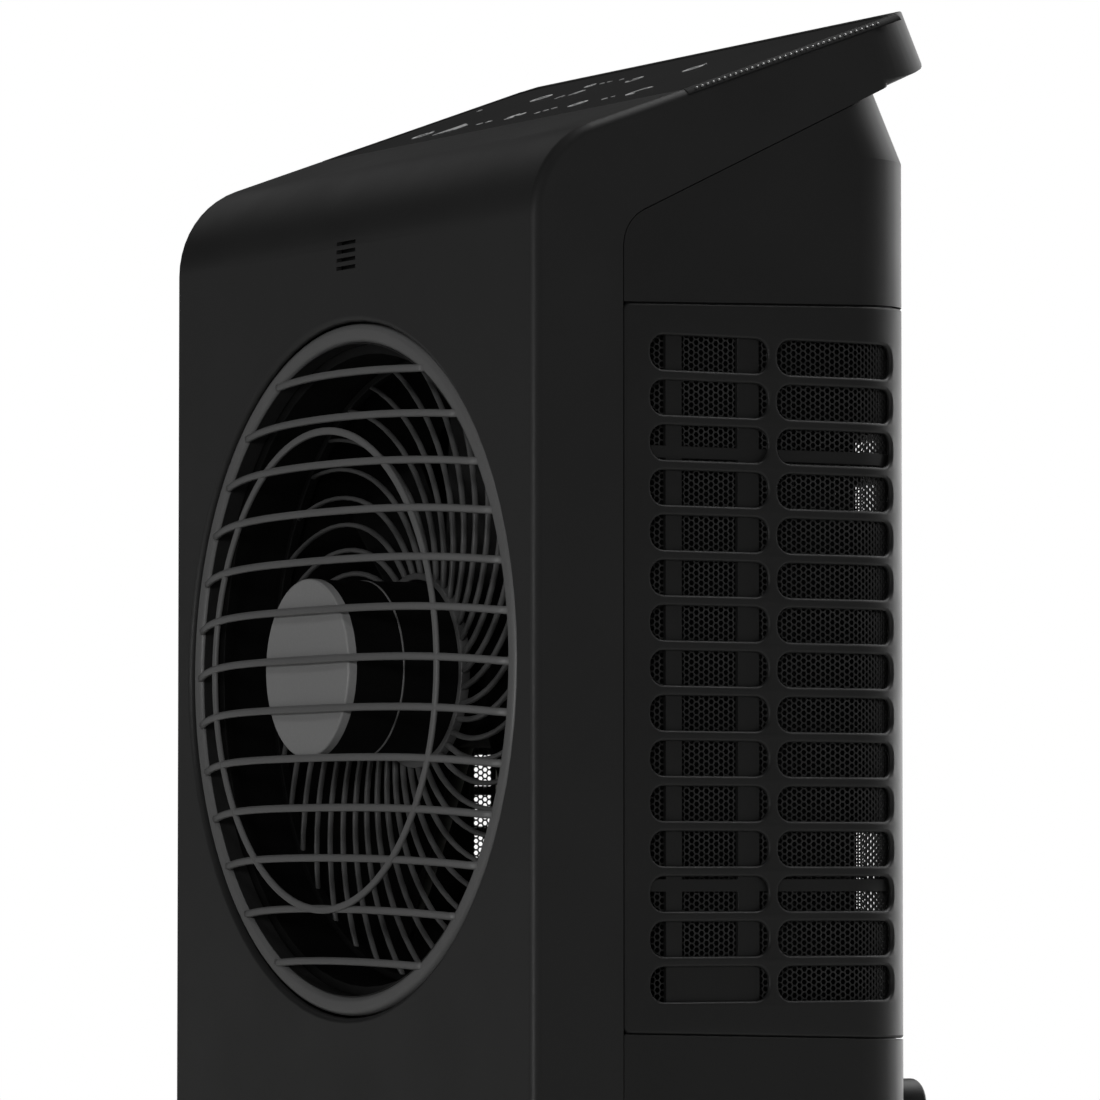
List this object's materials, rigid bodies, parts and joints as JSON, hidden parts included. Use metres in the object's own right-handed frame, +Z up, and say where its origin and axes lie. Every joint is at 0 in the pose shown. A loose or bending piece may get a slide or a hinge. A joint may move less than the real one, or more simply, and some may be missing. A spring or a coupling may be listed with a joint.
{
  "type": "air purifier",
  "caption": "Tall floor-standing air purifier with a round front air outlet, slotted wrap-round intake cover, pull-out filter and a sloping touch panel that ends in a carrying lip.",
  "frame": {"origin": "middle of the object's floor area, on the floor", "axes": "+Z up, +X towards the object's own side seen on the right when facing the outlet, -Y out of the outlet"},
  "size_m": [0.38, 0.2698, 0.6203],
  "materials": {
    "shell_plastic": "fine moulded grain, satin black",
    "housing_plastic": "fine moulded grain, matte black",
    "grille_plastic": "satin dark grey",
    "hub_paint": "satin mid grey",
    "inner_plastic": "plain matte black",
    "vane_plastic": "satin dark grey",
    "net_nylon": "fine honeycomb net, matte",
    "panel_glass": "gloss black touch surface",
    "trim_plastic": "bright satin rim",
    "board": "green circuit board",
    "display_resin": "white light guide",
    "steel": "turned steel",
    "filter_card": "off-white board",
    "filter_paper": "white pleated fibre",
    "carbon": "black carbon-loaded foam",
    "rubber": "soft black rubber",
    "brass": "machined brass"
  },
  "bodies": {
    "housing": {"front_shell": "shell_plastic", "upper_rear_housing": "housing_plastic", "lower_rear_housing": "housing_plastic", "base_plate": "inner_plastic", "outlet_grille": "grille_plastic", "sensor_vent": "inner_plastic", "panel_trim": "trim_plastic", "control_glass": "panel_glass", "touch_board": "board", "display_module": "display_resin", "hub_disc": "hub_paint", "motor_cover_front": "inner_plastic", "motor_cover_rear": "inner_plastic", "motor_can": "steel", "guide_vanes": "vane_plastic", "fan_shroud": "inner_plastic", "shaft_bearing": "steel", "filter_guide_left": "inner_plastic", "filter_guide_right": "inner_plastic", "filter_shelf": "inner_plastic", "dust_sensor": "inner_plastic", "power_board": "board", "power_transformer": "steel", "board_tray": "inner_plastic", "mains_inlet": "inner_plastic", "cord_hook_left": "housing_plastic", "foot_front_left": "rubber", "foot_rear_left": "rubber", "cord_hook_right": "housing_plastic", "foot_front_right": "rubber", "foot_rear_right": "rubber"},
    "fan": {"motor_shaft": "steel", "impeller": "inner_plastic", "impeller_nut": "brass"},
    "cover": {"intake_cover": "housing_plastic", "prefilter_frame": "housing_plastic", "prefilter_net": "net_nylon"},
    "filter": {"filter_frame": "filter_card", "filter_media": "filter_paper", "carbon_layer": "carbon", "filter_tab": "rubber"}
  },
  "joints": [
    {"name": "fan_spin", "type": "hinge", "parent": "housing", "child": "fan", "pos_m": [0, -0.02865, 0.3003], "axis": [0, 1, 0], "continuous": true},
    {"name": "cover_slide", "type": "slide", "parent": "housing", "child": "cover", "axis": [0, 1, 0], "range_m": [0, 0.12]},
    {"name": "filter_slide", "type": "slide", "parent": "housing", "child": "filter", "axis": [0, 1, 0], "range_m": [0, 0.06]}
  ],
  "couplings": [
    {"joint": "filter_slide", "follows": "cover_slide", "ratio": 0.5}
  ]
}
